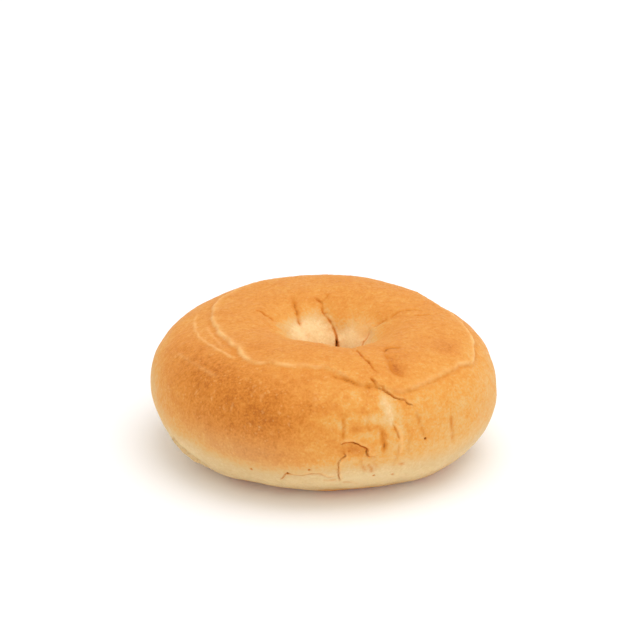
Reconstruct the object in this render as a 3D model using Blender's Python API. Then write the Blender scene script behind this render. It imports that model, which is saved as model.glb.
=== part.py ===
# A plain baked bagel: one ring of dough whose hole has risen nearly shut.
# Lengths are metres and +Z is up. The ring rests on Z = 0 with its outline centred on the origin.
#
# A place on the crust has two numbers. Its bearing is the angle round the hole's axis, in degrees,
# from the front (-Y) towards the right (+X). Its turn runs round the section: 0 at the outer side,
# 1 on the crest, 2 at the hole's neck, 3 under the middle of the base, and 4 is 0 again.

import math

import bmesh
import bpy
import numpy as np

# Body of the ring, measured from the hole's axis
OUTER_RADIUS = 0.0549
NECK_RADIUS = 0.0052
HEIGHT = 0.0424
CREST_SHARE = 0.445  # crest's place between neck and outer side
BASE_SHARE = 0.52  # base's place between neck and outer side
WAIST_SHARE = 0.52  # height of the widest line
NECK_SHARE = 0.50  # height of the hole's neck

# Uneven rising, as (cosine, sine) shares for one, two and three waves a turn
OUTLINE_WAVES = ((0.004, -0.096), (-0.001, 0.034), (-0.010, -0.018))
HEIGHT_WAVES = ((0.0, 0.001), (0.019, -0.011))
NECK_WAVES = ((0.02, 0.03), (0.06, -0.05), (-0.04, 0.07))

# Fullness of the section's four quarters: 2 is an ellipse, more is squarer
FULLNESS_TOP_OUT = 2.51
FULLNESS_TOP_IN = 1.94
FULLNESS_LOW_IN = 2.6
FULLNESS_LOW_OUT = 1.97

# Flattened underside
REST_DEPTH = 0.0009  # dough pressed flat against the oven's floor
REST_BLEND = 0.00025  # rounding at the edge of the flat

# Dried skin over the top, which ends in a low step all round
SKIN_HEIGHT = 0.0007
SKIN_EDGE = 0.0018
SKIN_OUTLINE = (  # (bearing, turn)
    (0, 0.66), (10, 0.50), (20, 0.43), (32, 0.45), (45, 0.475), (60, 0.475), (66, 0.43),
    (77, 0.52), (91, 0.58), (104, 0.62), (150, 0.63), (210, 0.60), (237, 0.61), (257, 0.71),
    (281, 0.775), (295, 0.785), (307, 0.765), (320, 0.68), (337, 0.69), (352, 0.72),
)

# Creases between the lobes of dough: (width, depth, places along it)
CREASES = {
    "far split": (0.0075, 0.0019, (
        (198, 1.18), (195, 1.30), (193, 1.43), (182, 1.56), (176, 1.72), (174, 2.30),
    )),
    "far left crease": (0.0060, 0.0010, (
        (214, 1.10), (220, 1.28), (228, 1.42), (232, 1.62), (233, 1.95),
    )),
    "left crease": (0.0070, 0.0014, (
        (248, 1.04), (250, 1.16), (254, 1.28), (262, 1.45), (270, 1.70), (274, 2.20),
    )),
    "right crease": (0.0080, 0.0018, (
        (108, 0.93), (115, 1.06), (114, 1.28), (117, 1.38), (112, 1.52), (108, 2.40),
    )),
    "near split": (0.0040, 0.0011, (
        (20, 1.90), (13, 1.50), (13, 1.20), (13, 0.97), (13, 0.86), (16, 0.74), (17, 0.62),
    )),
    "shoulder split": (0.0036, 0.0010, (
        (13, 0.58), (16, 0.48), (21, 0.39), (25, 0.35), (29, 0.29),
    )),
    "side crease": (0.0040, 0.0007, ((27, 0.27), (28, 0.16), (30, 0.04))),
    "fold lip": (0.0036, 0.0013, (
        (1, 0.06), (4, 0.07), (7, 0.04), (10, 0.0), (10, 3.93), (13, 3.92),
    )),
    "fold side": (0.0032, 0.0009, (
        (1, 0.05), (2, 3.98), (1, 3.90), (0, 3.84), (0, 3.70),
    )),
    "seam groove": (0.0030, 0.0008, ((14, 0.18), (15, 0.08), (15, 3.95))),
}

# Sunken patches: (radius, depth, place)
HOLLOWS = {
    "thumb dent": (0.0055, 0.0013, (27, 0.66)),
    "fold pocket": (0.0042, 0.0008, (6, 3.96)),
}

# Mesh lines
BEARING_LINES = 104
SEAM_BEARING = 14  # lines lie closest here, where the folds are
SEAM_CROWDING = 0.45
TURN_BANDS = ((0.30, 1.80, 22), (1.80, 3.60, 15), (3.60, 4.30, 9))  # (from, to, lines)
STROKE_STEP = 0.0008  # spacing of the points that stand for a crease

CRUST_COLOUR = (0.82, 0.42, 0.12, 1.0)
CRUST_ROUGHNESS = 0.55


def clear_scene():
    for old in list(bpy.data.objects):
        bpy.data.objects.remove(old, do_unlink=True)


def waves(bearing, shares):
    total = np.zeros_like(bearing)
    for count, (cosine, sine) in enumerate(shares, 1):
        total += cosine * np.cos(count * bearing) + sine * np.sin(count * bearing)
    return total


def quarter(half_width, half_height, fullness, angle):
    """A superellipse's point at this angle, seen from its centre."""
    across = np.cos(angle)
    up = np.sin(angle)
    reach = ((across / half_width) ** fullness + (up / half_height) ** fullness) ** (-1 / fullness)
    return reach * across, reach * up


def even_angle(half_width, half_height, fullness, share):
    """The angle that lies this share of a quarter's length up from its side."""
    angle = np.linspace(0, math.pi / 2, 200)
    across, up = quarter(half_width, half_height, fullness, angle)
    length = np.concatenate([[0.0], np.cumsum(np.hypot(np.diff(across), np.diff(up)))])
    return np.interp(share, length / length[-1], angle)


def section_quarters(outer, height, inner):
    """For each quarter: its centre's radius and height, half sizes, fullness, and which way it faces."""
    crest = inner + CREST_SHARE * (outer - inner)
    base = inner + BASE_SHARE * (outer - inner)
    waist = WAIST_SHARE * height
    neck = NECK_SHARE * height
    return (
        (crest, waist, outer - crest, height - waist, FULLNESS_TOP_OUT, 1, 1),
        (crest, neck, crest - inner, height - neck, FULLNESS_TOP_IN, -1, 1),
        (base, neck, base - inner, neck, FULLNESS_LOW_IN, -1, -1),
        (base, waist, outer - base, waist, FULLNESS_LOW_OUT, 1, -1),
    )


def smooth_ring(bearing, turn):
    """The ring before any crease, for arrays of bearings in radians and turns."""
    outer = OUTER_RADIUS * (1 + waves(bearing, OUTLINE_WAVES))
    height = HEIGHT * (1 + waves(bearing, HEIGHT_WAVES)) + REST_DEPTH
    inner = NECK_RADIUS * (1 + waves(bearing, NECK_WAVES))
    radius = np.zeros_like(bearing)
    level = np.zeros_like(bearing)
    turn = np.mod(turn, 4.0)
    mean_quarters = section_quarters(OUTER_RADIUS, HEIGHT + REST_DEPTH, NECK_RADIUS)
    for number, form in enumerate(section_quarters(outer, height, inner)):
        here = (turn >= number) & (turn < number + 1)
        share = turn[here] - number if number % 2 == 0 else number + 1 - turn[here]
        angle = even_angle(*mean_quarters[number][2:5], share)
        middle, mid_level, half_width, half_height, fullness, outward, upward = form
        across, up = quarter(half_width[here], half_height[here], fullness, angle)
        radius[here] = middle[here] + outward * across
        level[here] = mid_level[here] + upward * up
    return np.stack([radius * np.sin(bearing), -radius * np.cos(bearing), level], axis=-1)


def place(bearing_degrees, turn):
    bearing = np.radians(np.atleast_1d(bearing_degrees).astype(float))
    return smooth_ring(bearing, np.atleast_1d(turn).astype(float))


def pressed_flat(level):
    """Heights after the underside is pressed onto Z = 0."""
    level = level - REST_DEPTH
    rounded = level**2 / (4 * REST_BLEND)
    return np.where(level <= 0, 0.0, np.where(level < 2 * REST_BLEND, rounded, level - REST_BLEND))


def stroke_points(places):
    """Points on the smooth ring every STROKE_STEP or so along these places."""
    bearings = np.array([spot[0] for spot in places], float)
    turns = np.array([spot[1] for spot in places], float)
    turns = np.where(turns > 3, turns - 4, turns)  # keeps a path that crosses the outer side in one run
    corners = place(bearings, turns)
    lengths = np.concatenate([[0.0], np.cumsum(np.linalg.norm(np.diff(corners, axis=0), axis=1))])
    along = np.linspace(0, lengths[-1], int(lengths[-1] / STROKE_STEP) + 2)
    return place(np.interp(along, lengths, bearings), np.interp(along, lengths, turns))


def distance_to(points, targets):
    gaps = points[:, None, :] - targets[None, :, :]
    return np.linalg.norm(gaps, axis=2).min(axis=1)


def smooth_step(value):
    value = np.clip(value, 0.0, 1.0)
    return value * value * (3 - 2 * value)


def skin_rise(bearing, turn):
    """The dried skin's height over the dough, from 0 outside its edge to SKIN_HEIGHT inside."""
    corners = np.array([spot[0] for spot in SKIN_OUTLINE], float)
    levels = np.array([spot[1] for spot in SKIN_OUTLINE], float)
    edge = np.interp(np.degrees(bearing), corners, levels, period=360)
    quarter_length = math.pi / 4 * (OUTER_RADIUS * (1 - CREST_SHARE) + HEIGHT * (1 - WAIST_SHARE))
    inside = (turn - edge) * quarter_length
    return SKIN_HEIGHT * smooth_step(inside / SKIN_EDGE + 0.5) * smooth_step((2.0 - turn) / 0.8)


def relief(points, bearing, turn):
    """How far each point moves out along its normal."""
    moved = skin_rise(bearing, turn)
    for width, depth, places in CREASES.values():
        reach = 1 - distance_to(points, stroke_points(places)) / width
        moved -= depth * np.clip(reach, 0.0, 1.0) ** 2
    for radius, depth, spot in HOLLOWS.values():
        nearness = 1 - distance_to(points, place(*spot)) / radius
        moved -= depth * smooth_step(nearness)
    return moved


def normals_of(grid):
    round_hole = np.roll(grid, -1, axis=0) - np.roll(grid, 1, axis=0)
    round_section = np.roll(grid, -1, axis=1) - np.roll(grid, 1, axis=1)
    normal = np.cross(round_hole, round_section)
    return normal / np.linalg.norm(normal, axis=2, keepdims=True)


def mesh_lines():
    """Bearings in radians and turns of the mesh's lines, closer together where the relief is fine."""
    share = np.arange(BEARING_LINES) / BEARING_LINES * 2 * math.pi
    seam = math.radians(SEAM_BEARING)
    bearings = share - SEAM_CROWDING * np.sin(share - seam)
    bands = [np.linspace(start, end, lines, endpoint=False) for start, end, lines in TURN_BANDS]
    return bearings, np.concatenate(bands)


def ring_grid():
    bearings, turns = mesh_lines()
    bearing, turn = np.meshgrid(bearings, turns, indexing="ij")
    grid = smooth_ring(bearing, turn)
    flat_turn = np.mod(turn, 4.0).ravel()
    moved = relief(grid.reshape(-1, 3), bearing.ravel(), flat_turn).reshape(bearing.shape)
    grid = grid + normals_of(grid) * moved[..., None]
    grid[..., 2] = pressed_flat(grid[..., 2])
    middle = (grid.max(axis=(0, 1)) + grid.min(axis=(0, 1))) / 2
    grid[..., :2] -= middle[:2]
    return grid


def bagel_mesh(grid):
    """Closes the grid both ways into one body."""
    form = bmesh.new()
    rows, columns = grid.shape[:2]
    corners = [[form.verts.new(spot) for spot in row] for row in grid.tolist()]
    for i in range(rows):
        after = (i + 1) % rows
        for j in range(columns):
            beside = (j + 1) % columns
            form.faces.new((corners[i][j], corners[after][j], corners[after][beside], corners[i][beside]))
    bmesh.ops.recalc_face_normals(form, faces=form.faces)
    mesh = bpy.data.meshes.new("bagel")
    form.to_mesh(mesh)
    form.free()
    mesh.shade_smooth()
    mesh.set_sharp_from_angle(angle=math.radians(60))
    return mesh


def crust_material():
    material = bpy.data.materials.new("crust")
    material.use_nodes = True
    shader = material.node_tree.nodes["Principled BSDF"]
    shader.inputs["Base Color"].default_value = CRUST_COLOUR
    shader.inputs["Roughness"].default_value = CRUST_ROUGHNESS
    shader.inputs["Metallic"].default_value = 0.0
    return material


def make_bagel():
    bagel = bpy.data.objects.new("bagel", bagel_mesh(ring_grid()))
    bagel.data.materials.append(crust_material())
    bpy.context.scene.collection.objects.link(bagel)


clear_scene()
make_bagel()
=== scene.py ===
import math
import random

import bmesh
import bpy
import numpy as np
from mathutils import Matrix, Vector, noise


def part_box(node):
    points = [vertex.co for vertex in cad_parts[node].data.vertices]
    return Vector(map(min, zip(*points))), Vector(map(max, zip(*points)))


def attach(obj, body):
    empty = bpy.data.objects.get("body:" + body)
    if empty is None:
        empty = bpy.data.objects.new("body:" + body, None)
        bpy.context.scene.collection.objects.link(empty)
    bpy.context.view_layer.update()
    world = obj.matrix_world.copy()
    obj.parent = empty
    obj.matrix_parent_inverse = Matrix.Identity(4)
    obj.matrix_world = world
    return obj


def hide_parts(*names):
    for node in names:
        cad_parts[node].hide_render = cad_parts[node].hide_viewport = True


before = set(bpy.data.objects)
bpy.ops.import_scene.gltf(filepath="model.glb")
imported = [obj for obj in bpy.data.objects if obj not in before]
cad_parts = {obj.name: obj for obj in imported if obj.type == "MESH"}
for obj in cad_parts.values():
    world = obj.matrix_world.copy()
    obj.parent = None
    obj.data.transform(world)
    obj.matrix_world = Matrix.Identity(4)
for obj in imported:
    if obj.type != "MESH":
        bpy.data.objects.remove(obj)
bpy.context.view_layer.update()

# A spot on the crust is (bearing, turn). Bearing is in degrees round the hole, 0 at the front and
# 90 on the right. Turn runs round the section: -1 under the base, 0 the outer side, 1 the crest,
# 2 the neck of the hole, 3 back under the base. Lengths are metres unless a note says otherwise.

dough = {
    "outerRadius": 0.0549,  # from the hole's axis
    "neckRadius": 0.0052,
    "height": 0.0424,
    "crestShare": 0.445,  # where the crest stands between neck and side
    "baseShare": 0.52,
    "waistShare": 0.52,  # height of the widest line
    "neckShare": 0.5,
    "fullness": (2.51, 1.94, 2.6, 1.97),  # four quarters of the section, 2 is an ellipse
    "outlineWaves": ((0.004, -0.096), (-0.001, 0.034), (-0.01, -0.018)),  # once, twice, three times round
    "heightWaves": ((0.0, 0.001), (0.019, -0.011)),
    "neckWaves": ((0.02, 0.03), (0.06, -0.05), (-0.04, 0.07)),
    "restDepth": 0.0009,  # pressed flat by the oven floor
    "restBlend": 0.00025,
    "lumps": ((0.017, 0.0003), (0.0065, 0.0001), (0.0024, 0.000035)),  # size, height
    "lattice": (292, 148),  # faces round the hole, faces round the section
    "refine": ((0.0014, 0), (0.0008, 1), (0.00045, 1)),  # reach, and whether along splits only
    "refineSkin": 0.0013,  # reach at the skin's edge
    "refineBlister": 0.0002,  # and past a blister's rim
    "weld": 0.000001,  # joins the two ends of the lattice
    "arcSteps": 200,  # samples along a quarter, to space the faces evenly
    "uvMargin": 0.002,
}

skin = {
    "height": 0.00065,
    "edgeWidth": 0.0008,
    "lipHeight": 0.00022,
    "lipWidth": 0.00056,
    "lipPlace": 0.4,  # in lip widths inside the edge
    "haloWidth": 0.0012,  # the paler band round the lip
    "haloPlace": 0.2,
    "lipPale": 0.55,
    "haloPale": 0.3,
    "reach": 0.004,  # how far from the edge any of it shows
    "thinning": 0.8,  # the skin thins over this many turns into the hole
    "shade": 0.42,  # shade painted under the lip
    "shadePlace": -1.8,  # in lip widths, outside the edge
    "patchy": {"size": 0.0035, "mean": 0.85, "swing": 0.9, "least": 0.35, "most": 1.15},
    "wavers": ((0.006, 0.00045), (0.0022, 0.00022), (0.001, 0.00008)),  # size, swing
    "outline": (  # the dried skin's edge, spot by spot
        (0, 0.655), (6, 0.545), (10, 0.505), (16, 0.485), (22, 0.43), (28, 0.43), (36, 0.455),
        (46, 0.476), (56, 0.49), (64, 0.433), (70, 0.47), (77, 0.516), (85, 0.545), (91, 0.585),
        (98, 0.6), (104, 0.62), (125, 0.66), (150, 0.62), (180, 0.65), (210, 0.6), (237, 0.608),
        (246, 0.648), (257, 0.708), (268, 0.748), (281, 0.776), (295, 0.785), (307, 0.764),
        (320, 0.68), (325, 0.66), (331, 0.7), (338, 0.688), (346, 0.712), (354, 0.72),
    ),
    "lipStrength": (  # bearing, how much of the pale lip stands there
        (0, 0.6), (9, 0.3), (14, 0.0), (24, 0.4), (50, 0.9), (66, 1.1), (104, 1.0), (150, 0.35),
        (200, 0.5), (238, 1.05), (318, 1.05), (327, 0.8), (345, 0.8),
    ),
}

# two ways along which a flap and a split run together
lipRoute = (
    (1.0, 0.045), (2.2, 0.064), (3.7, 0.066), (5.8, 0.05), (8.6, 0.018), (9.9, 0.0),
    (9.5, -0.04), (9.9, -0.074), (11.5, -0.078), (13.4, -0.07),
)
foldRoute = (
    (2.2, -0.028), (3.0, -0.064), (1.2, -0.1), (0.5, -0.152), (0.4, -0.22), (0.6, -0.31),
    (1.4, -0.4),
)

# kind: crease is a soft valley, split a narrow slit, flap a lifted edge, ridge a raised line.
# Width is from the middle line to the edge, fade is how long it takes to start and to end, and
# the value before the route is how much shade is painted into it, or how pale a ridge is painted.
strokes = {
    "farCrease": {
        "kind": "crease", "width": 0.0056, "depth": 0.001, "fade": (0.004, 0.002), "paintedShading": 0.18,
        "route": ((198, 1.17), (195, 1.28), (194, 1.38), (191, 1.46), (184, 1.55), (178, 1.66),
                  (174, 1.95), (172, 2.35))},
    "farSplit": {
        "kind": "split", "width": 0.00048, "depth": 0.00036, "fade": (0.002, 0.001), "paintedShading": 0.6,
        "route": ((198, 1.19), (194, 1.27), (195, 1.38), (191, 1.46), (185, 1.54), (179, 1.64),
                  (175, 1.8))},
    "farSplitDeep": {
        "kind": "split", "width": 0.00042, "depth": 0.0014, "fade": (0.002, 0.001), "paintedShading": 1.0,
        "route": ((181, 1.605), (179.5, 1.64), (177, 1.72), (175, 1.82), (174, 2.05))},
    "farBranch": {
        "kind": "crease", "width": 0.0008, "depth": 0.00024, "fade": (0.0005, 0.003), "paintedShading": 0.65,
        "route": ((194, 1.26), (190, 1.215), (186, 1.16), (182, 1.125))},
    "farHook": {
        "kind": "crease", "width": 0.0008, "depth": 0.00015, "fade": (0.001, 0.002), "paintedShading": 0.5,
        "route": ((194.5, 1.25), (197, 1.225), (200, 1.185))},
    "farLeftCrease": {
        "kind": "crease", "width": 0.004, "depth": 0.00055, "fade": (0.005, 0.003), "paintedShading": 0.12,
        "route": ((214, 1.09), (218, 1.22), (224, 1.34), (230, 1.45), (233, 1.6), (234, 1.9))},
    "farLeftLine": {
        "kind": "crease", "width": 0.0014, "depth": 0.00034, "fade": (0.003, 0.003), "paintedShading": 0.78,
        "route": ((214, 1.1), (218, 1.22), (223, 1.33), (228, 1.4), (233, 1.45), (238, 1.48))},
    "leftCrease": {
        "kind": "crease", "width": 0.0048, "depth": 0.0007, "fade": (0.004, 0.002), "paintedShading": 0.12,
        "route": ((250, 1.04), (250, 1.13), (253, 1.25), (259, 1.4), (268, 1.65), (274, 2.15))},
    "leftLine": {
        "kind": "split", "width": 0.00044, "depth": 0.0005, "fade": (0.001, 0.004), "paintedShading": 0.72,
        "route": ((250, 1.04), (249, 1.1), (251, 1.15), (252, 1.22), (255, 1.3))},
    "rightCrease": {
        "kind": "crease", "width": 0.0058, "depth": 0.001, "fade": (0.004, 0.002), "paintedShading": 0.15,
        "route": ((106, 1.1), (112, 1.2), (117, 1.36), (117, 1.44), (112, 1.52), (109, 1.75),
                  (108, 2.35))},
    "rightLineA": {
        "kind": "crease", "width": 0.001, "depth": 0.00034, "fade": (0.002, 0.002), "paintedShading": 0.6,
        "route": ((110.5, 1.19), (112, 1.26), (114.5, 1.34), (117, 1.4))},
    "rightLineB": {
        "kind": "split", "width": 0.00044, "depth": 0.0004, "fade": (0.002, 0.002), "paintedShading": 0.6,
        "route": ((117.5, 1.41), (115, 1.47), (112, 1.53), (110, 1.66))},
    "rightWrinkleA": {
        "kind": "crease", "width": 0.0011, "depth": 0.00034, "fade": (0.002, 0.003), "paintedShading": 0.75,
        "route": ((111, 1.2), (111, 1.14), (112.4, 1.07), (111, 0.96), (107, 0.87))},
    "rightWrinkleB": {
        "kind": "crease", "width": 0.001, "depth": 0.00028, "fade": (0.002, 0.003), "paintedShading": 0.62,
        "route": ((101.5, 1.0), (100.4, 0.93), (100.2, 0.85), (98.5, 0.8))},
    "rightWrinkleC": {
        "kind": "crease", "width": 0.0009, "depth": 0.00014, "fade": (0.002, 0.003), "paintedShading": 0.35,
        "route": ((111, 1.2), (105, 1.12), (98, 1.0))},
    "nearCrease": {
        "kind": "crease", "width": 0.0026, "depth": 0.00034, "fade": (0.004, 0.002), "paintedShading": 0.15,
        "route": ((24, 2.1), (16, 1.6), (13, 1.25), (13, 0.97), (13, 0.87), (15, 0.76), (17, 0.62))},
    "nearSplit": {
        "kind": "split", "width": 0.00044, "depth": 0.00064, "fade": (0.002, 0.0025), "paintedShading": 0.74,
        "route": ((12.3, 1.0), (13, 0.87), (14.2, 0.8), (15, 0.76), (16, 0.66), (17, 0.6))},
    "kneeFlap": {
        "kind": "flap", "width": 0.0015, "depth": 0.00042, "fade": (0.0015, 0.003), "paintedShading": 0.15,
        "route": ((13.5, 0.57), (14.5, 0.545), (15.3, 0.5), (17, 0.485), (19.5, 0.425), (21.5, 0.385),
                  (24.2, 0.355), (25, 0.33), (28.5, 0.285))},
    "kneeSplit": {
        "kind": "split", "width": 0.00034, "depth": 0.00062, "fade": (0.001, 0.006), "paintedShading": 0.68,
        "route": ((13.2, 0.575), (14.5, 0.545), (15.3, 0.5), (17, 0.488), (18.2, 0.445), (19.5, 0.425),
                  (21.5, 0.385), (24.2, 0.36), (25.2, 0.33), (26.6, 0.312), (29, 0.28))},
    "kneeStart": {
        "kind": "crease", "width": 0.0012, "depth": 0.00042, "fade": (0.0008, 0.001), "paintedShading": 0.8,
        "route": ((13.0, 0.585), (14.2, 0.55), (15.2, 0.505), (17, 0.488))},
    "shoulderGroove": {
        "kind": "crease", "width": 0.0015, "depth": 0.00038, "fade": (0.003, 0.001), "paintedShading": 0.8,
        "route": ((356, 0.655), (2, 0.585), (7, 0.536), (10.5, 0.508), (13.5, 0.5))},
    "faintLine": {
        "kind": "crease", "width": 0.0009, "depth": 0.00014, "fade": (0.002, 0.002), "paintedShading": 0.4,
        "route": ((348, 0.635), (355, 0.576), (358, 0.56))},
    "skinLine": {
        "kind": "crease", "width": 0.0009, "depth": 0.00026, "fade": (0.003, 0.004), "paintedShading": 0.48,
        "route": ((64, 0.418), (60, 0.446), (55, 0.476), (46, 0.462), (36, 0.441), (28, 0.416),
                  (23, 0.42))},
    "sideCrease": {
        "kind": "crease", "width": 0.001, "depth": 0.00034, "fade": (0.002, 0.001), "paintedShading": 0.58,
        "route": ((27.5, 0.27), (28, 0.2), (28.2, 0.15), (29.5, 0.08), (30.2, 0.03))},
    "lipFlap": {
        "kind": "flap", "width": 0.0024, "depth": 0.0008, "fade": (0.0006, 0.0015), "paintedShading": 0.25,
        "route": lipRoute},
    "lipSplit": {
        "kind": "split", "width": 0.00034, "depth": 0.0009, "fade": (0.0003, 0.005), "paintedShading": 0.85,
        "route": lipRoute},
    "pocketStep": {
        "kind": "crease", "width": 0.0008, "depth": 0.00028, "fade": (0.001, 0.001), "paintedShading": 0.62,
        "route": ((8.4, 0.005), (8.5, -0.03), (8.4, -0.065))},
    "pocketSide": {
        "kind": "crease", "width": 0.0008, "depth": 0.00028, "fade": (0.001, 0.001), "paintedShading": 0.62,
        "route": ((1.4, 0.045), (1.9, 0.0), (2.2, -0.04), (3.0, -0.07))},
    "foldSide": {
        "kind": "flap", "width": 0.0018, "depth": 0.00036, "fade": (0.001, 0.002), "paintedShading": 0.1,
        "route": foldRoute},
    "foldSplit": {
        "kind": "split", "width": 0.0003, "depth": 0.00045, "fade": (0.001, 0.003), "paintedShading": 0.36,
        "route": foldRoute},
    "seamGroove": {
        "kind": "crease", "width": 0.0012, "depth": 0.00062, "fade": (0.003, 0.002), "paintedShading": 1.05,
        "route": ((13.6, 0.2), (14.2, 0.16), (14.9, 0.11), (15.3, 0.05), (15.3, -0.02), (15.2, -0.08))},
    "seamCrease": {
        "kind": "split", "width": 0.00036, "depth": 0.00035, "fade": (0.002, 0.001), "paintedShading": 0.5,
        "route": ((18.4, 0.2), (19.2, 0.14), (20, 0.096), (20.3, 0.045))},
    "seamRidge": {
        "kind": "ridge", "width": 0.0005, "depth": 0.0002, "fade": (0.002, 0.002), "paintedShading": 0.6,
        "route": ((19.2, 0.2), (19.8, 0.17), (21, 0.092), (21.5, 0.008), (20.8, -0.108))},
    "seamTail": {
        "kind": "crease", "width": 0.0009, "depth": 0.00014, "fade": (0.001, 0.003), "paintedShading": 0.3,
        "route": ((20.6, 0.02), (20.2, -0.08), (19.0, -0.17), (19.6, -0.27))},
    "frontLine": {
        "kind": "crease", "width": 0.001, "depth": 0.00022, "fade": (0.002, 0.001), "paintedShading": 0.7,
        "route": ((2.1, 0.295), (2.0, 0.22), (2.2, 0.144), (1.8, 0.08))},
    "frontWrinkle": {
        "kind": "crease", "width": 0.0008, "depth": 0.00012, "fade": (0.002, 0.001), "paintedShading": 0.35,
        "route": ((356, 0.283), (0, 0.28), (2.2, 0.277), (4, 0.255))},
    "sideLine": {
        "kind": "crease", "width": 0.0012, "depth": 0.00038, "fade": (0.001, 0.003), "paintedShading": 0.62,
        "route": ((41.4, 0.15), (41.9, 0.11), (42, 0.02), (43, -0.14))},
    "baseSplit": {
        "kind": "split", "width": 0.0003, "depth": 0.0004, "fade": (0.001, 0.002), "paintedShading": 0.5,
        "route": ((340.5, -0.35), (343.8, -0.255), (348, -0.272), (351.5, -0.244), (354.5, -0.246),
                  (356.8, -0.3), (0.2, -0.295))},
    "baseFlap": {
        "kind": "flap", "width": 0.0018, "depth": 0.00022, "fade": (0.002, 0.002), "paintedShading": 0.0,
        "route": ((343.8, -0.255), (348, -0.272), (351.5, -0.244), (354.5, -0.246), (356.8, -0.3),
                  (0.2, -0.295))},
    "baseNotch": {
        "kind": "flap", "width": 0.0016, "depth": 0.0013, "fade": (0.006, 0.0016), "paintedShading": 0.06,
        "route": ((313, -0.47), (308, -0.41), (303, -0.34), (299.5, -0.28), (297, -0.25), (294, -0.235))},
    "outerRidge": {
        "kind": "ridge", "width": 0.00045, "depth": 0.00022, "fade": (0.006, 0.004), "paintedShading": 0.6,
        "route": ((249, 0.53), (255, 0.56), (264, 0.585), (274, 0.61), (284, 0.632), (295, 0.664),
                  (306, 0.664), (315, 0.65))},
    "innerRidge": {
        "kind": "ridge", "width": 0.0004, "depth": 0.00016, "fade": (0.004, 0.006), "paintedShading": 0.45,
        "route": ((268, 0.69), (278, 0.715), (288, 0.727), (296, 0.72), (303, 0.7))},
    "lowRidge": {
        "kind": "ridge", "width": 0.0006, "depth": 0.00012, "fade": (0.006, 0.006), "paintedShading": 0.25,
        "route": ((282, 0.4), (291, 0.444), (301, 0.452), (309, 0.452), (316, 0.44))},
    "dentCrescent": {
        "kind": "crease", "width": 0.0014, "depth": 0.00056, "fade": (0.0015, 0.003), "paintedShading": 0.95,
        "route": ((28.0, 0.89), (29.6, 0.93), (33, 0.962), (37, 0.965), (40.5, 0.925), (42, 0.88))},
    "dentSide": {
        "kind": "crease", "width": 0.0015, "depth": 0.0004, "fade": (0.002, 0.003), "paintedShading": 0.6,
        "route": ((28.4, 0.88), (26.4, 0.8), (25.0, 0.7), (25.0, 0.61), (26.6, 0.555), (29.5, 0.545))},
    "seamWrinkleA": {
        "kind": "crease", "width": 0.0009, "depth": 0.00014, "fade": (0.001, 0.002), "paintedShading": 0.3,
        "route": ((9.5, 0.32), (10.4, 0.25), (10.0, 0.18), (10.6, 0.12))},
    "seamWrinkleB": {
        "kind": "crease", "width": 0.0008, "depth": 0.00012, "fade": (0.001, 0.002), "paintedShading": 0.25,
        "route": ((6.4, 0.2), (6.0, 0.15), (6.6, 0.1))},
    "seamWrinkleC": {
        "kind": "crease", "width": 0.0009, "depth": 0.00014, "fade": (0.001, 0.002), "paintedShading": 0.3,
        "route": ((23.8, 0.16), (24.4, 0.06), (23.8, -0.04), (24.6, -0.12))},
    "seamWrinkleD": {
        "kind": "crease", "width": 0.0008, "depth": 0.00012, "fade": (0.001, 0.002), "paintedShading": 0.3,
        "route": ((13.0, -0.1), (12.2, -0.15), (13.4, -0.2), (12.8, -0.26))},
    "seamWrinkleE": {
        "kind": "ridge", "width": 0.0006, "depth": 0.00012, "fade": (0.001, 0.002), "paintedShading": 0.3,
        "route": ((16.6, 0.46), (17.4, 0.38), (17.2, 0.3), (18.4, 0.22))},
    "lowWrinkleA": {
        "kind": "crease", "width": 0.0009, "depth": 0.00028, "fade": (0.0006, 0.001), "paintedShading": 0.62,
        "route": ((8.0, -0.1), (8.1, -0.165), (9.2, -0.215), (10.2, -0.26))},
    "lowWrinkleB": {
        "kind": "crease", "width": 0.0009, "depth": 0.00024, "fade": (0.0006, 0.001), "paintedShading": 0.56,
        "route": ((10.0, -0.155), (11.3, -0.215), (12.2, -0.285))},
    "lowWrinkleC": {
        "kind": "crease", "width": 0.001, "depth": 0.0002, "fade": (0.001, 0.001), "paintedShading": 0.42,
        "route": ((355, -0.33), (358, -0.345), (0.2, -0.35))},
    "lowWrinkleD": {
        "kind": "crease", "width": 0.001, "depth": 0.0002, "fade": (0.001, 0.002), "paintedShading": 0.36,
        "route": ((1.6, -0.415), (4, -0.41), (7, -0.43))},
    "seamDash": {
        "kind": "crease", "width": 0.001, "depth": 0.00018, "fade": (0.0006, 0.0006), "paintedShading": 0.55,
        "route": ((20.6, -0.2), (21.8, -0.205), (23.1, -0.22))},
    "backCrease": {
        "kind": "crease", "width": 0.0022, "depth": 0.00035, "fade": (0.004, 0.004), "paintedShading": 0.3,
        "route": ((148, 0.52), (151, 0.36), (149, 0.18), (153, 0.02))},
    "backSplit": {
        "kind": "split", "width": 0.00036, "depth": 0.0005, "fade": (0.002, 0.003), "paintedShading": 0.6,
        "route": ((214, -0.2), (220, -0.16), (227, -0.19), (233, -0.15))},
    "backRidge": {
        "kind": "ridge", "width": 0.00055, "depth": 0.00016, "fade": (0.006, 0.006), "paintedShading": 0.4,
        "route": ((162, 0.44), (174, 0.4), (188, 0.43), (202, 0.41))},
    "sideWrinkle": {
        "kind": "crease", "width": 0.0012, "depth": 0.0002, "fade": (0.003, 0.003), "paintedShading": 0.3,
        "route": ((96, 0.26), (98, 0.12), (96.5, 0.0))},
    "underRim": {
        "kind": "crease", "width": 0.002, "depth": 0.00022, "fade": (0.01, 0.01), "paintedShading": 0.15,
        "route": ((28, -0.5), (52, -0.47), (80, -0.5), (108, -0.48), (134, -0.51))},
    "underFold": {
        "kind": "crease", "width": 0.0034, "depth": 0.00055, "fade": (0.003, 0.004), "paintedShading": 0.25,
        "route": ((16, 2.2), (14, 2.45), (10, 2.7), (11, 2.9))},
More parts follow.
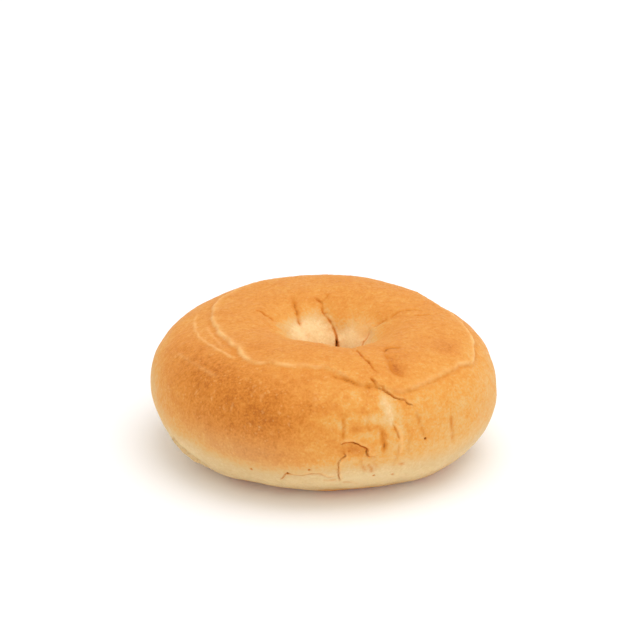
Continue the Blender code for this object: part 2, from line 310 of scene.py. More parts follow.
    "underPinch": {
        "kind": "split", "width": 0.0004, "depth": 0.0006, "fade": (0.003, 0.004), "paintedShading": 0.6,
        "route": ((15, 2.3), (13, 2.5), (10, 2.7), (11.5, 2.84))},
    "underFoldBack": {
        "kind": "crease", "width": 0.0034, "depth": 0.0005, "fade": (0.003, 0.005), "paintedShading": 0.2,
        "route": ((173, 2.3), (178, 2.5), (174, 2.72), (180, 2.92))},
}

dents = (  # soft hollows, and swellings below 0: spot, radius, depth
    ((26.6, 0.655), 0.0046, 0.0016),
    ((28.5, 0.8), 0.0038, 0.0006),
    ((30, 0.9), 0.003, 0.00035),
    ((33, 0.66), 0.004, -0.00025),
    ((5, -0.01), 0.0036, 0.0006),
    ((12.5, 0.02), 0.003, -0.0003),
    ((18.2, 0.04), 0.0034, -0.00035),
    ((18.5, 0.32), 0.005, -0.0004),
    ((9, 0.42), 0.005, 0.0003),
    ((298, -0.36), 0.012, -0.0008),
    ((9, 1.22), 0.0098, 0.0013),
    ((330, -0.68), 0.018, 0.001),
    ((355, -0.68), 0.018, 0.001),
    ((20, -0.68), 0.018, 0.0009),
    ((60, -0.16), 0.012, 0.0004),
    ((196, 0.2), 0.013, 0.00055),
    ((120, 0.3), 0.011, -0.00035),
)

strokeForm = {
    "step": 0.0002,  # between points along a stroke
    "wavers": ((0.0034, 0.00036), (0.0013, 0.00022), (0.0006, 0.0001)),  # size, swing to the side
    "strength": 0.86,
    "patchy": 0.75,  # how much a stroke thins and thickens along its way
    "patch": 0.002,  # how long a thin or thick stretch is
    "least": 0.2,  # a stroke never shows less than this
    "most": 1.1,
    "ways": 97,  # how many ways of wavering there are
    "fewest": 16,  # points along the shortest stroke
    "rounding": 5,  # points averaged round a corner
    "reach": {"crease": 1.0, "split": 3.2, "flap": 2.6, "ridge": 2.4},  # in widths
    "hollow": {"crease": 2.0, "split": 1.2},  # higher is narrower at the bottom
    "brim": {"height": 0.12, "place": 1.5, "width": 0.6},  # raised beside a split
    "flapUp": {"height": 0.6, "fall": 1.4},
    "flapDown": {"height": 0.8, "fall": 1.6},
    "flapPale": {"amount": 0.35, "place": 0.25, "spread": 0.05},
    # how the shade painted across each kind of stroke falls off
    "paintedShading": {"crease": 1.4, "split": 0.72, "splitFall": 0.9, "flapFall": 2.0},
}
topQuarterLength = 0.0395  # from the outer side to the crest

pinholes = (  # spot, and how deep it is and how much shade is painted in it
    ((30.3, 0.012), 1.0), ((331.5, -0.256), 0.6), ((351, -0.196), 0.6), ((343.8, -0.252), 0.9),
    ((12.8, -0.32), 0.55), ((19.6, -0.33), 0.45), ((4.0, -0.02), 0.4),
)
pinholeForm = {"radius": 0.0005, "depth": 0.0008, "paintedShading": 1.4}  # the shade painted round a pinhole reaches this many radii

# each kind of unevenness has its own stretch of noise, and the stretches lie this far apart
noiseShift = (7.1, 3.7, 5.3)
seeds = {"skinEdge": 3, "skinLip": 8, "lumps": 11, "seamBrown": 21, "seamHeight": 22, "underBrown": 31}


def waves(angle, shares):
    # shares holds a cosine and a sine part for one wave round, then for two, and so on
    total = np.zeros_like(angle)
    for count, (cosine, sine) in enumerate(shares, 1):
        total += cosine * np.cos(count * angle) + sine * np.sin(count * angle)
    return total


def quarterPoint(halfWidth, halfHeight, fullness, angle):
    across, up = np.cos(angle), np.sin(angle)
    reach = ((across / halfWidth) ** fullness + (up / halfHeight) ** fullness) ** (-1 / fullness)
    return reach * across, reach * up


def evenAngle(halfWidth, halfHeight, fullness, share):
    # angle that lies this share of the quarter's length up from its side
    angle = np.linspace(0, math.pi / 2, dough["arcSteps"])
    across, up = quarterPoint(halfWidth, halfHeight, fullness, angle)
    length = np.concatenate([[0.0], np.cumsum(np.hypot(np.diff(across), np.diff(up)))])
    return np.interp(share, length / length[-1], angle)


def sectionQuarters(outer, height, inner):
    crest = inner + dough["crestShare"] * (outer - inner)
    base = inner + dough["baseShare"] * (outer - inner)
    waist = dough["waistShare"] * height
    neck = dough["neckShare"] * height
    topOut, topIn, lowIn, lowOut = dough["fullness"]
    # each: middle across, middle up, half width, half height, fullness, way out, way up
    return (
        (crest, waist, outer - crest, height - waist, topOut, 1, 1),
        (crest, neck, crest - inner, height - neck, topIn, -1, 1),
        (base, neck, base - inner, neck, lowIn, -1, -1),
        (base, waist, outer - base, waist, lowOut, 1, -1),
    )


def smoothRing(bearing, turn):
    angle = np.radians(bearing)
    outer = dough["outerRadius"] * (1 + waves(angle, dough["outlineWaves"]))
    height = dough["height"] * (1 + waves(angle, dough["heightWaves"])) + dough["restDepth"]
    inner = dough["neckRadius"] * (1 + waves(angle, dough["neckWaves"]))
    mean = sectionQuarters(dough["outerRadius"], dough["height"] + dough["restDepth"], dough["neckRadius"])
    turn = np.mod(turn, 4.0)
    radius = np.zeros_like(angle)
    level = np.zeros_like(angle)
    for number, form in enumerate(sectionQuarters(outer, height, inner)):
        here = (turn >= number) & (turn < number + 1)
        share = turn[here] - number if number % 2 == 0 else number + 1 - turn[here]
        lift = evenAngle(*mean[number][2:5], share)
        middle, midLevel, halfWidth, halfHeight, fullness, outward, upward = form
        across, up = quarterPoint(halfWidth[here], halfHeight[here], fullness, lift)
        radius[here] = middle[here] + outward * across
        level[here] = midLevel[here] + upward * up
    return np.stack([radius * np.sin(angle), -radius * np.cos(angle), level], axis=-1)


def ringNormals(bearing, turn):
    bearingStep, turnStep = 0.2, 0.004
    along = smoothRing(bearing + bearingStep, turn) - smoothRing(bearing - bearingStep, turn)
    across = smoothRing(bearing, turn + turnStep) - smoothRing(bearing, turn - turnStep)
    normal = np.cross(along, across)
    return normal / np.linalg.norm(normal, axis=1, keepdims=True)


def pressedFlat(level):
    # everything below the resting height is levelled, with a soft edge
    blend = dough["restBlend"]
    level = level - dough["restDepth"]
    rounded = level**2 / (4 * blend)
    return np.where(level <= 0, 0.0, np.where(level < 2 * blend, rounded, level - blend))


def smoothStep(value):
    value = np.clip(value, 0.0, 1.0)
    return value * value * (3 - 2 * value)


def noiseAt(places, size, seed):
    # runs from about -0.5 to 0.5
    offset = Vector([seed * shift for shift in noiseShift])
    return np.array([noise.noise(Vector(spot) / size + offset) for spot in places])


def spotPlace(spot):
    return smoothRing(np.array([spot[0]], float), np.array([spot[1]], float))[0]


def routePoints(name, stroke):
    # points along a stroke, with their sideways directions and how strongly it shows there
    bearings = np.unwrap([spot[0] for spot in stroke["route"]], period=360)
    turns = np.array([spot[1] for spot in stroke["route"]], float)
    corners = smoothRing(bearings, turns)
    lengths = np.concatenate([[0.0], np.cumsum(np.linalg.norm(np.diff(corners, axis=0), axis=1))])
    along = np.linspace(0, lengths[-1], max(strokeForm["fewest"], int(lengths[-1] / strokeForm["step"])))
    bearing = np.interp(along, lengths, bearings)
    turn = np.interp(along, lengths, turns)
    count = strokeForm["rounding"]
    rounding = np.ones(count) / count
    inner = slice(count // 2, -(count // 2))
    bearing[inner] = np.convolve(bearing, rounding, "valid")
    turn[inner] = np.convolve(turn, rounding, "valid")
    points = smoothRing(bearing, turn)
    ahead = np.gradient(points, axis=0)
    ahead /= np.linalg.norm(ahead, axis=1, keepdims=True)
    sideways = np.cross(ringNormals(bearing, turn), ahead)
    seed = sum(map(ord, name)) % strokeForm["ways"]
    for size, swing in strokeForm["wavers"]:
        points = points + sideways * (swing * noiseAt(points, size, seed))[:, None]
    uneven = strokeForm["strength"] + strokeForm["patchy"] * noiseAt(points, strokeForm["patch"], seed + 1)
    uneven = np.clip(uneven, strokeForm["least"], strokeForm["most"])
    fadeIn, fadeOut = stroke["fade"]
    shown = uneven * smoothStep(along / fadeIn) * smoothStep((along[-1] - along) / fadeOut)
    return points, sideways, shown


def nearStroke(places, stroke, reach):
    # which places lie within reach, their signed distance across the stroke and how strongly it shows
    points, sideways, shown = stroke["line"]
    low, high = points.min(axis=0) - reach, points.max(axis=0) + reach
    near = np.flatnonzero(((places > low) & (places < high)).all(axis=1))
    closest = np.empty(len(near), int)
    distance = np.empty(len(near))
    batch = 2000  # places measured at a time, to spare memory
    for start in range(0, len(near), batch):
        now = slice(start, start + batch)
        gaps = np.linalg.norm(places[near[now]][:, None] - points[None], axis=2)
        closest[now] = gaps.argmin(axis=1)
        distance[now] = gaps.min(axis=1)
    keep = distance < reach
    near, closest, distance = near[keep], closest[keep], distance[keep]
    side = np.sign(((places[near] - points[closest]) * sideways[closest]).sum(axis=1))
    return near, distance * side, shown[closest]


def strokeHeight(stroke, across):
    kind, depth = stroke["kind"], stroke["depth"]
    share = np.abs(across) / stroke["width"]
    if kind == "ridge":
        return depth * np.exp(-(share**2))
    if kind == "flap":
        # the crust on its left side stands proud, and the dough on the right lies low
        up, down = strokeForm["flapUp"], strokeForm["flapDown"]
        proud = up["height"] * np.exp(-up["fall"] * share)
        low = -down["height"] * np.exp(-down["fall"] * share)
        return depth * np.where(across > 0, proud, low)
    hollow = -depth * np.clip(1 - share, 0, 1) ** strokeForm["hollow"][kind]
    if kind == "crease":
        return hollow
    brim = strokeForm["brim"]
    return hollow + brim["height"] * depth * np.exp(-(((share - brim["place"]) / brim["width"]) ** 2))


def strokePaintedShade(stroke, across):
    # shade painted across a stroke: in a crease or slit, and on the low side under a flap's lifted edge
    share = np.abs(across) / stroke["width"]
    form = strokeForm["paintedShading"]
    if stroke["kind"] == "crease":
        return stroke["paintedShading"] * np.clip(1 - share, 0, 1) ** form["crease"]
    if stroke["kind"] == "split":
        edge = (1 - form["split"]) * np.exp(-form["splitFall"] * share)
        return stroke["paintedShading"] * (form["split"] * np.exp(-(share**2)) + edge)
    return stroke["paintedShading"] * np.exp(-form["flapFall"] * share) * (across < 0)


def skinEdge(bearing):
    spots = np.array(skin["outline"], float)
    edge = np.interp(bearing, spots[:, 0], spots[:, 1], period=360)
    strength = np.array(skin["lipStrength"], float)
    lip = np.interp(bearing, strength[:, 0], strength[:, 1], period=360)
    return edge, lip


def skinRelief(places, bearing, turn):
    # the dried skin's own rise, its pale lip and the shade under the lip
    edge, lip = skinEdge(bearing)
    inside = (turn - edge) * topQuarterLength
    near = np.abs(inside) < skin["reach"]
    for number, (size, swing) in enumerate(skin["wavers"]):
        inside[near] += 2 * swing * noiseAt(places[near], size, seeds["skinEdge"] + number)
    lip = lip * near
    patchy = skin["patchy"]
    uneven = patchy["mean"] + patchy["swing"] * noiseAt(places[near], patchy["size"], seeds["skinLip"])
    lip[near] *= np.clip(uneven, patchy["least"], patchy["most"])
    rise = skin["height"] * smoothStep(inside / skin["edgeWidth"] + 0.5)
    rise *= smoothStep((2.0 - turn) / skin["thinning"])
    rise[(turn < 0) | (turn > 2)] = 0
    line = lip * np.exp(-((inside / skin["lipWidth"] - skin["lipPlace"]) ** 2))
    halo = lip * np.exp(-((inside / skin["haloWidth"] - skin["haloPlace"]) ** 2))
    shade = lip * skin["shade"] * np.exp(-((inside / skin["lipWidth"] - skin["shadePlace"]) ** 2))
    return rise + skin["lipHeight"] * line, skin["lipPale"] * line + skin["haloPale"] * halo, shade


def relief(places, bearing, turn):
    # how far the crust stands out, how much shade is painted into it and how pale it is
    moved, pale, paintedShading = skinRelief(places, bearing, turn)
    for stroke in strokes.values():
        reach = strokeForm["reach"][stroke["kind"]] * stroke["width"]
        near, across, shown = nearStroke(places, stroke, reach)
        moved[near] += strokeHeight(stroke, across) * shown
        if stroke["kind"] == "ridge":
            share = across / stroke["width"]
            pale[near] = np.maximum(pale[near], stroke["paintedShading"] * shown * np.exp(-(share**2)))
        else:
            # shade painted along creases and slits, and under flaps
            paintedShading[near] = np.maximum(paintedShading[near], strokePaintedShade(stroke, across) * shown)
        if stroke["kind"] == "flap":
            form = strokeForm["flapPale"]
            edge = np.exp(-((across / stroke["width"] - form["place"]) ** 2) / form["spread"])
            pale[near] = np.maximum(pale[near], form["amount"] * shown * edge)
    for spot, radius, depth in dents:
        share = np.linalg.norm(places - spotPlace(spot), axis=1) / radius
        moved -= depth * smoothStep(1 - share)
    for spot, strength in pinholes:
        share = np.linalg.norm(places - spotPlace(spot), axis=1) / pinholeForm["radius"]
        moved -= strength * pinholeForm["depth"] * smoothStep(1 - share)
        # shade painted into each pinhole
        paintedShading = np.maximum(paintedShading, strength * smoothStep(pinholeForm["paintedShading"] - share))
    for centre, radius, height in blisterSet:
        near = np.flatnonzero(np.abs(places - centre).max(axis=1) < blisters["dome"] * radius)
        share = np.linalg.norm(places[near] - centre, axis=1) / radius
        moved[near] += height * smoothStep(blisters["dome"] - blisters["dome"] * share)
        start, fall, amount = blisters["pale"]
        pale[near] = np.maximum(pale[near], amount * smoothStep(start - fall * share))
    moved += seamNoise(places, bearing, turn, browning["seam"]["height"], seeds["seamHeight"])
    for number, (size, height) in enumerate(dough["lumps"]):
        moved += height * 2 * noiseAt(places, size, seeds["lumps"] + number)
    return moved, paintedShading, pale


# How far the crust has browned: 0 is pale dough, 1 is deep brown
browning = {
    "round": (  # by turn
        (-1.0, 0.52), (-0.82, 0.46), (-0.66, 0.2), (-0.5, 0.06), (-0.38, 0.08), (-0.28, 0.16),
        (-0.18, 0.25), (-0.06, 0.34), (0.1, 0.4), (0.3, 0.46), (0.6, 0.52), (0.8, 0.56),
        (1.12, 0.56), (1.22, 0.52), (1.31, 0.44), (1.4, 0.34), (1.49, 0.22), (1.58, 0.09), (1.8, 0.03),
        (2.2, 0.03), (2.55, 0.12), (2.78, 0.38), (3.0, 0.52),
    ),
    "patches": (  # spot, spread in degrees and turn, amount
        ((336, 0.17), (19, 0.25), 0.38),
        ((311, 0.12), (16, 0.17), 0.18),
        ((334, -0.11), (22, 0.11), 0.25),
        ((308, 0.44), (30, 0.22), 0.33),
        ((3, 0.28), (7, 0.24), -0.12),
        ((8, 0.4), (12, 0.12), 0.05),
        ((312, 0.88), (14, 0.09), 0.12),
        ((272, 0.12), (15, 0.25), -0.14),
        ((42, 0.2), (30, 0.3), -0.05),
        ((76, 0.3), (16, 0.4), -0.08),
        ((63, 0.67), (9, 0.09), 0.2),
        ((36, 0.8), (14, 0.16), 0.07),
        ((26.4, 0.66), (3.0, 0.09), 0.36),
        ((303, -0.22), (17, 0.12), -0.16),
        ((8, -0.34), (22, 0.14), -0.1),
        ((28.5, 0.8), (3.2, 0.07), 0.14),
        ((17.2, 0.345), (2.4, 0.12), -0.34),
        ((15.0, 0.05), (0.9, 0.1), 0.3),
        ((19.2, 0.22), (2.4, 0.09), -0.16),
        ((4.8, -0.01), (3.8, 0.05), 0.4),
        ((358, 0.055), (3.6, 0.07), 0.16),
        ((8.2, 0.168), (2.8, 0.035), 0.15),
        ((5.6, 0.165), (2.0, 0.03), 0.08),
        ((353, 0.33), (5.0, 0.05), 0.1),
        ((25, 0.09), (3.0, 0.06), 0.1),
        ((174, 1.46), (13, 0.11), 0.21),
        ((234, 1.47), (40, 0.1), -0.24),
        # the next six take browning away on the hole's right wall, as painted light that pales it where
        # the hole lies in shade
        ((147, 1.64), (22, 0.12), -0.3),
        ((104, 1.5), (18, 0.14), -0.04),
        ((136, 1.57), (20, 0.06), -0.14),
        ((111, 1.32), (12, 0.12), -0.06),
        ((112, 1.46), (9, 0.07), -0.12),
        ((152, 1.5), (12, 0.06), -0.05),
        ((259, 1.33), (8, 0.06), -0.13),
        ((60, 1.3), (40, 0.12), 0.04),
        ((170, 0.2), (44, 0.26), 0.2),
        ((222, 0.34), (22, 0.2), 0.1),
        ((118, 0.06), (18, 0.2), 0.08),
    ),
    "flour": ((-0.75, 0.0), (-0.55, 0.42), (-0.3, 0.42), (-0.12, 0.0)),  # turn, how dull the dough is
    "mostFlour": 0.5,
    "uneven": {"size": 0.0075, "amount": 0.34, "turns": (-0.7, -0.45, 2.2, 2.6), "share": (1, 0, 0, 1)},
    "dull": ((322, -0.1), (26, 0.15), 0.24),  # a duller patch
    "holePaintedLight": ((128, 1.45), (26, 0.1), 0.6),  # and a paler patch in the hole, painted light against the hole's shade
    "seam": {"spot": (8, 0.22), "spread": (20, 0.34), "size": 0.0024, "amount": 0.27, "height": 0.0002},
    "faintest": 0.05,  # the seam's patches end where they are weaker than this
}


def spreadFrom(bearing, turn, spot, spread):
    # 1 at the spot, dying away both ways round
    bearingShare = (np.mod(bearing - spot[0] + 180, 360) - 180) / spread[0]
    turnShare = (np.mod(turn - spot[1] + 2, 4) - 2) / spread[1]
    return np.exp(-(bearingShare**2 + turnShare**2))


def seamNoise(places, bearing, turn, strength, seed):
    # uneven round the seam at the front, and 0 elsewhere
    seam = browning["seam"]
    mask = spreadFrom(bearing, turn, seam["spot"], seam["spread"])
    here = mask > browning["faintest"]
    patchy = np.zeros(len(places))
    patchy[here] = strength * mask[here] * noiseAt(places[here], seam["size"], seed)
    return patchy


def browned(places, bearing, turn):
    # how far each place has browned, and how floury it is
    level = np.array(browning["round"], float)
    amount = np.interp(turn, level[:, 0], level[:, 1])
    for spot, spread, extra in browning["patches"]:
        amount += extra * spreadFrom(bearing, turn, spot, spread)
    uneven = browning["uneven"]
    under = np.interp(turn, uneven["turns"], uneven["share"])
    amount += uneven["amount"] * under * noiseAt(places, uneven["size"], seeds["underBrown"])
    amount += seamNoise(places, bearing, turn, browning["seam"]["amount"], seeds["seamBrown"])
    dusting = np.array(browning["flour"], float)
    spot, spread, extra = browning["dull"]
    flour = np.interp(turn, dusting[:, 0], dusting[:, 1]) + extra * spreadFrom(bearing, turn, spot, spread)
    return np.clip(amount, 0, 1), np.clip(flour, 0, browning["mostFlour"])


blisters = {  # small bubbles under the skin, thickest on the browned front and left
    "seed": 4,
    "count": 420,
    "radius": (0.00032, 0.00072),
    "height": (0.00005, 0.00013),
    "heart": (-42, 0.36),  # spot they crowd round
    "spread": (62, 0.34),
    "span": (-0.25, 1.15),  # lowest and highest turn
    "mostlySmall": 2.2,
    "dome": 1.2,
    "pale": (1.1, 1.3, 0.38),  # start, fall and amount
    "row": ((322, 0.645), (329, 0.66), (336, 0.668), (343, 0.672)),  # a row of them along a ridge
    "rowCount": 3,  # more beside each of the row
    "rowSpread": (3, 0.01),
}


def scatterBlisters():
    rng = random.Random(blisters["seed"])
    spots = list(blisters["row"])
    wide, high = blisters["rowSpread"]
    for bearing, turn in blisters["row"]:
        for number in range(blisters["rowCount"]):
            spots.append((bearing + rng.uniform(-wide, wide), turn + rng.uniform(-high, high)))
    heart, spread = blisters["heart"], blisters["spread"]
    lowest, highest = blisters["span"]
    while len(spots) < blisters["count"]:
        spot = (rng.gauss(heart[0], spread[0]), rng.gauss(heart[1], spread[1]))
        if lowest < spot[1] < highest:
            spots.append(spot)
    found = []
    for spot in spots:
        size = rng.random() ** blisters["mostlySmall"]
        low, high = blisters["radius"]
        flat, tall = blisters["height"]
        found.append((spotPlace(spot), low + size * (high - low), flat + size * (tall - flat)))
    return found


def flatLattice():
    # the whole crust laid out flat: x is bearing, y is turn
    across, up = dough["lattice"]
    form = bmesh.new()
    rows = []
    for i in range(across + 1):
        bearing = 360 * i / across - 180
        rows.append([form.verts.new((bearing, 4 * j / up - 1, 0)) for j in range(up + 1)])
    for i in range(across):
        for j in range(up):
            form.faces.new((rows[i][j], rows[i + 1][j], rows[i + 1][j + 1], rows[i][j + 1]))
    return form


def latticeSpots(form):
    flat = np.array([vert.co[:2] for vert in form.verts])
    return flat[:, 0], flat[:, 1]


def refineLattice(form, reach, splitsOnly):
    # cuts every edge whose middle lies near a stroke, so that seams are cut alike on both sides
    ends = np.array([[*edge.verts[0].co[:2], *edge.verts[1].co[:2]] for edge in form.edges])
    bearing = (ends[:, 0] + ends[:, 2]) / 2
    turn = (ends[:, 1] + ends[:, 3]) / 2
    places = smoothRing(bearing, turn)
    chosen = np.zeros(len(places), bool)
    for stroke in strokes.values():
        if splitsOnly and stroke["kind"] != "split":
            continue
        chosen[nearStroke(places, stroke, reach)[0]] = True
    if not splitsOnly:
        fromEdge = np.abs(turn - skinEdge(bearing)[0]) * topQuarterLength
        chosen |= (fromEdge < dough["refineSkin"]) & (turn > 0)
        for centre, radius, height in blisterSet:
            chosen |= np.linalg.norm(places - centre, axis=1) < radius + dough["refineBlister"]
    for spot, strength in pinholes:
        chosen |= np.linalg.norm(places - spotPlace(spot), axis=1) < reach
    edges = list(form.edges)
    cut = [edges[i] for i in np.flatnonzero(chosen)]
    bmesh.ops.subdivide_edges(form, edges=cut, cuts=1, use_grid_fill=True)


def fitToBox(places, low, high):
    nowLow, nowHigh = places.min(axis=0), places.max(axis=0)
    return low + (places - nowLow) * (high - low) / (nowHigh - nowLow)


def buildCrust():
    form = flatLattice()
    for reach, splitsOnly in dough["refine"]:
        refineLattice(form, reach, splitsOnly)
    bearing, turn = latticeSpots(form)
    places = smoothRing(bearing, turn)
    normals = ringNormals(bearing, turn)
    moved, paintedShading, pale = relief(places, bearing, turn)
    browns, flour = browned(places, bearing, turn)
    # painted light: a paler patch on the hole's wall, where the hole lies in shade
    spot, spread, extra = browning["holePaintedLight"]
    pale = np.maximum(pale, extra * spreadFrom(bearing, turn, spot, spread))
    places = places + normals * moved[:, None]
    places[:, 2] = pressedFlat(places[:, 2])
    low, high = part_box("bagel")
    places = fitToBox(places, np.array(low), np.array(high))

    sheet = form.loops.layers.uv.new("OFBake")
    margin = dough["uvMargin"]
    for face in form.faces:
        for loop in face.loops:
            x, y = (loop.vert.co.x + 180) / 360, (loop.vert.co.y + 1) / 4
            loop[sheet].uv = (margin + x * (1 - 2 * margin), margin + y * (1 - 2 * margin))
    marks = {"browned": browns, "paintedShading": paintedShading, "pale": pale, "flour": flour}
    layers = {name: form.verts.layers.float.new(name) for name in marks}
    for vert, place, *values in zip(form.verts, places, *marks.values()):
        vert.co = place
        for layer, value in zip(layers.values(), values):
            vert[layer] = value
    bmesh.ops.remove_doubles(form, verts=form.verts, dist=dough["weld"])
    bmesh.ops.recalc_face_normals(form, faces=form.faces)
    openEdges = sum(1 for edge in form.edges if len(edge.link_faces) != 2)
    mesh = bpy.data.meshes.new("bagelCrust")
    form.to_mesh(mesh)
    form.free()
    mesh.shade_smooth()
    crust = bpy.data.objects.new("bagelCrust", mesh)
    bpy.context.scene.collection.objects.link(crust)
    triangles = sum(len(face.vertices) - 2 for face in mesh.polygons)
    print("crust:", triangles, "triangles,", openEdges, "open edges")
    return crust


finish = {
    "ramp": (  # browning, colour
        (0.0, (0.94, 0.67, 0.34)),
        (0.14, (0.79, 0.505, 0.22)),
        (0.3, (0.77, 0.42, 0.125)),
        (0.42, (0.785, 0.345, 0.064)),
        (0.55, (0.745, 0.287, 0.044)),
        (0.68, (0.7, 0.248, 0.033)),
        (0.85, (0.61, 0.194, 0.018)),
        (1.0, (0.5, 0.142, 0.011)),
    ),
    "creaseShade": (0.65, 0.208, 0.012),  # shade colour painted into creases
    "deep": (0.3, 0.088, 0.005),  # and the shadow colour painted into the deepest slits
    "flour": (0.61, 0.492, 0.27),
    "pale": (0.93, 0.53, 0.19),
    "speck": (0.95, 0.56, 0.2),
    "creaseShadeFrom": (0.0, 0.62, 0.0, 0.92),  # painted shade from and to, and how much of the crease shade colour there
    "slitShadowFrom": (0.6, 1.0),
    "noise": ((95, 3, 0.26), (250, 2, 0.25), (620, 3, 0.41), (1400, 3, 0.62)),  # scale, detail, swing
    "noiseRoughness": 0.6,
    "calm": (0.02, 0.75, 0.35, 1.2),  # browning from and to, grain there
    "specks": {"scale": 700, "edge": (0.3, 0.08), "amount": 0.3, "height": 0.35},
    "speckPatches": {"noise": (260, 2), "edge": (0.5, 0.62)},
    "roughness": (0.3, 0.7, 0.52, 0.68),  # grain from and to, roughness there
    "grainHeight": (0.9, 0.5),  # of the two finest grains
    "bump": 0.7,
    "bumpDistance": 0.0004,
    "specular": 0.22,
    "softness": {"Weight": 0.08, "Radius": (1.0, 0.45, 0.18), "Scale": 0.0016},  # light let into the dough
}


def setInputs(node, values):
    for name, value in values.items():
        node.inputs[name].default_value = value


def buildBakedGroup():
    group = bpy.data.node_groups.new("bakedCrust", "ShaderNodeTree")
    for name, value in (("Browned", 0.5), ("PaintedShading", 0.0), ("Pale", 0.0), ("Flour", 0.0)):
        socket = group.interface.new_socket(name=name, in_out="INPUT", socket_type="NodeSocketFloat")
        socket.default_value = value
    for name, kind in (("Color", "Color"), ("Roughness", "Float"), ("Height", "Float")):
        group.interface.new_socket(name=name, in_out="OUTPUT", socket_type="NodeSocket" + kind)
    nodes, links = group.nodes, group.links
    given = nodes.new("NodeGroupInput")
    made = nodes.new("NodeGroupOutput")
    coords = nodes.new("ShaderNodeTexCoord")

    def noiseNode(scale, detail):
        node = nodes.new("ShaderNodeTexNoise")
        setInputs(node, {"Scale": scale, "Detail": detail, "Roughness": finish["noiseRoughness"]})
        links.new(coords.outputs["Object"], node.inputs["Vector"])
        return node.outputs["Fac"]

    def mathNode(kind, *values):
        node = nodes.new("ShaderNodeMath")
        node.operation = kind
        for socket, value in zip(node.inputs, values):
            if isinstance(value, (int, float)):
                socket.default_value = value
            else:
                links.new(value, socket)
        return node.outputs[0]

    def mixNode(factor, first, second):
        node = nodes.new("ShaderNodeMix")
        node.data_type = "RGBA"
        sockets = {socket.identifier: socket for socket in node.inputs}
        links.new(factor, sockets["Factor_Float"])
        links.new(first, sockets["A_Color"])
        sockets["B_Color"].default_value = (*second, 1.0)
        return next(socket for socket in node.outputs if socket.identifier == "Result_Color")

    def rangeNode(value, low, high, outLow=0.0, outHigh=1.0):
        node = nodes.new("ShaderNodeMapRange")
        setInputs(node, {"From Min": low, "From Max": high, "To Min": outLow, "To Max": outHigh})
        links.new(value, node.inputs["Value"])
        return node.outputs["Result"]

    level = given.outputs["Browned"]
    calm = rangeNode(level, *finish["calm"])  # pale dough is plainer than crust
    grains = []
    for scale, detail, swing in finish["noise"]:
        grains.append(noiseNode(scale, detail))
        swung = mathNode("MULTIPLY", mathNode("SUBTRACT", grains[-1], 0.5), calm)
        level = mathNode("MULTIPLY_ADD", swung, swing, level)
    ramp = nodes.new("ShaderNodeValToRGB")
    stops = ramp.color_ramp.elements
    while len(stops) < len(finish["ramp"]):
        stops.new(0.5)
    for stop, (position, colour) in zip(stops, finish["ramp"]):
        stop.position = position
        stop.color = (*colour, 1.0)
    links.new(level, ramp.inputs["Fac"])
    specks, patches = finish["specks"], finish["speckPatches"]
    cells = nodes.new("ShaderNodeTexVoronoi")
    setInputs(cells, {"Scale": specks["scale"]})
    links.new(coords.outputs["Object"], cells.inputs["Vector"])
    sparse = rangeNode(noiseNode(*patches["noise"]), *patches["edge"])
    speck = mathNode("MULTIPLY", rangeNode(cells.outputs["Distance"], *specks["edge"]), sparse)
    colour = mixNode(mathNode("MULTIPLY", speck, specks["amount"]), ramp.outputs["Color"], finish["speck"])
    colour = mixNode(given.outputs["Flour"], colour, finish["flour"])
    colour = mixNode(given.outputs["Pale"], colour, finish["pale"])
    # shade painted into creases and slits, darkest in the deepest slits
    colour = mixNode(rangeNode(given.outputs["PaintedShading"], *finish["creaseShadeFrom"]), colour, finish["creaseShade"])
    colour = mixNode(rangeNode(given.outputs["PaintedShading"], *finish["slitShadowFrom"]), colour, finish["deep"])
    links.new(colour, made.inputs["Color"])
    fine, finest = grains[2:]
    links.new(rangeNode(fine, *finish["roughness"]), made.inputs["Roughness"])
    fineHeight, finestHeight = finish["grainHeight"]
    height = mathNode("MULTIPLY_ADD", finest, finestHeight, mathNode("MULTIPLY", fine, fineHeight))
    height = mathNode("MULTIPLY_ADD", speck, specks["height"], height)
    links.new(height, made.inputs["Height"])
    return group


def crustMaterial(group):
    material = bpy.data.materials.new("bakedBagelCrust")
    material.use_nodes = True
    nodes, links = material.node_tree.nodes, material.node_tree.links
    shader = nodes["Principled BSDF"]
    setInputs(shader, {"Specular IOR Level": finish["specular"]})
    setInputs(shader, {"Subsurface " + name: value for name, value in finish["softness"].items()})
    baked = nodes.new("ShaderNodeGroup")
    baked.node_tree = group
    for socket, mark in (("Browned", "browned"), ("PaintedShading", "paintedShading"), ("Pale", "pale"), ("Flour", "flour")):
        reader = nodes.new("ShaderNodeAttribute")
        reader.attribute_name = mark
        links.new(reader.outputs["Fac"], baked.inputs[socket])
    bump = nodes.new("ShaderNodeBump")
    setInputs(bump, {"Strength": finish["bump"], "Distance": finish["bumpDistance"]})
    links.new(baked.outputs["Height"], bump.inputs["Height"])
    links.new(baked.outputs["Color"], shader.inputs["Base Color"])
    links.new(baked.outputs["Roughness"], shader.inputs["Roughness"])
    links.new(bump.outputs["Normal"], shader.inputs["Normal"])
    return material


studio = {
    "floor": 0.95,  # how pale it is
    "floorHalf": 6.0,  # half its side
    "floorDrop": 0.0001,  # a hair below the crust
    "floorRoughness": 0.9,
    "floorSpecular": 0.1,
    "floorGlow": 0.05,
    "world": 0.82,
    "key": {"power": 8.0, "size": 1.3, "place": (0.22, 0.0, 1.4)},
    "fill": {"power": 1.8, "size": 0.9, "place": (0.75, -1.0, 0.7)},
}


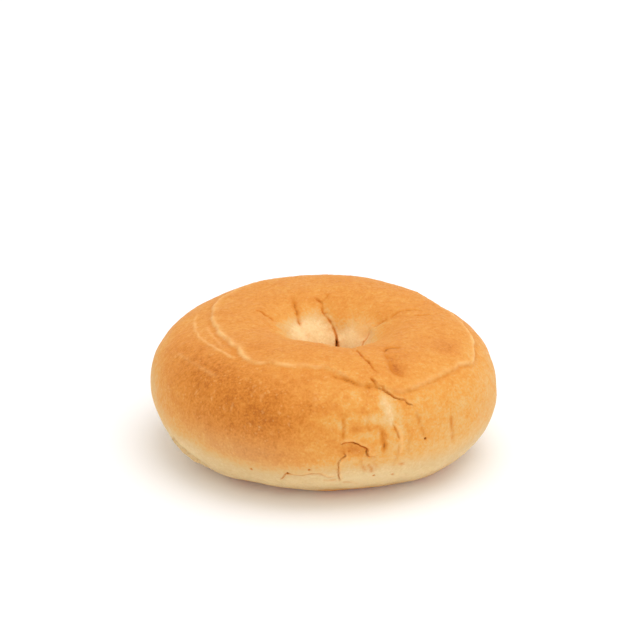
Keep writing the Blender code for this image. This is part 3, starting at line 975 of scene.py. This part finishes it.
def buildFloor():
    half = studio["floorHalf"]
    corners = [(-half, -half, 0), (half, -half, 0), (half, half, 0), (-half, half, 0)]
    mesh = bpy.data.meshes.new("floor")
    mesh.from_pydata(corners, [], [(0, 1, 2, 3)])
    floor = bpy.data.objects.new("floor", mesh)
    floor.location.z = -studio["floorDrop"]
    bpy.context.scene.collection.objects.link(floor)
    material = bpy.data.materials.new("paleFloor")
    material.use_nodes = True
    shader = material.node_tree.nodes["Principled BSDF"]
    setInputs(shader, {
        "Base Color": (studio["floor"],) * 3 + (1.0,),
        "Roughness": studio["floorRoughness"],
        "Specular IOR Level": studio["floorSpecular"],
        "Emission Color": (1.0, 1.0, 1.0, 1.0),
        "Emission Strength": studio["floorGlow"],
    })
    mesh.materials.append(material)


def addLamp(name, lamp):
    light = bpy.data.lights.new(name, "AREA")
    light.energy = lamp["power"]
    light.shape = "DISK"
    light.size = lamp["size"]
    holder = bpy.data.objects.new(name, light)
    holder.location = lamp["place"]
    holder.rotation_euler = (-Vector(lamp["place"])).to_track_quat("-Z", "Y").to_euler()
    bpy.context.scene.collection.objects.link(holder)


def buildStudio():
    world = bpy.data.worlds.new("studio")
    world.use_nodes = True
    back = world.node_tree.nodes["Background"]
    setInputs(back, {"Color": (1.0, 1.0, 1.0, 1.0), "Strength": studio["world"]})
    scene = bpy.context.scene
    scene.world = world
    scene.view_settings.view_transform = "Standard"
    addLamp("key", studio["key"])
    addLamp("fill", studio["fill"])


view = {
    "distance": 0.85,
    "elevation": 22.9,  # degrees above level
    "lens": 149.5,  # millimetres, on a sensor this wide
    "sensor": 36,
    "nearest": 0.01,
    "target": (-0.0009, -0.0007, 0.02),
    "raise": 0.0206,  # the lens looks this far above the target
}


def buildCamera():
    elevation = math.radians(view["elevation"])
    distance = view["distance"]
    x, y, z = view["target"]
    camera = bpy.data.objects.new("camera", bpy.data.cameras.new("camera"))
    camera.data.lens = view["lens"]
    camera.data.sensor_width = view["sensor"]
    camera.data.clip_start = view["nearest"]
    camera.location = (x, y - distance * math.cos(elevation), z + distance * math.sin(elevation))
    tilt = elevation - math.atan(view["raise"] / distance)
    camera.rotation_euler = (math.pi / 2 - tilt, 0, 0)
    bpy.context.scene.collection.objects.link(camera)
    bpy.context.scene.camera = camera


for name, stroke in strokes.items():
    stroke["line"] = routePoints(name, stroke)
blisterSet = scatterBlisters()
print("strokes:", len(strokes), "blisters:", len(blisterSet))
crust = buildCrust()
crust.data.materials.append(crustMaterial(buildBakedGroup()))
print("crust finish ready")
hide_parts("bagel")
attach(crust, "root")
buildFloor()
buildStudio()
buildCamera()
print("studio and camera ready")
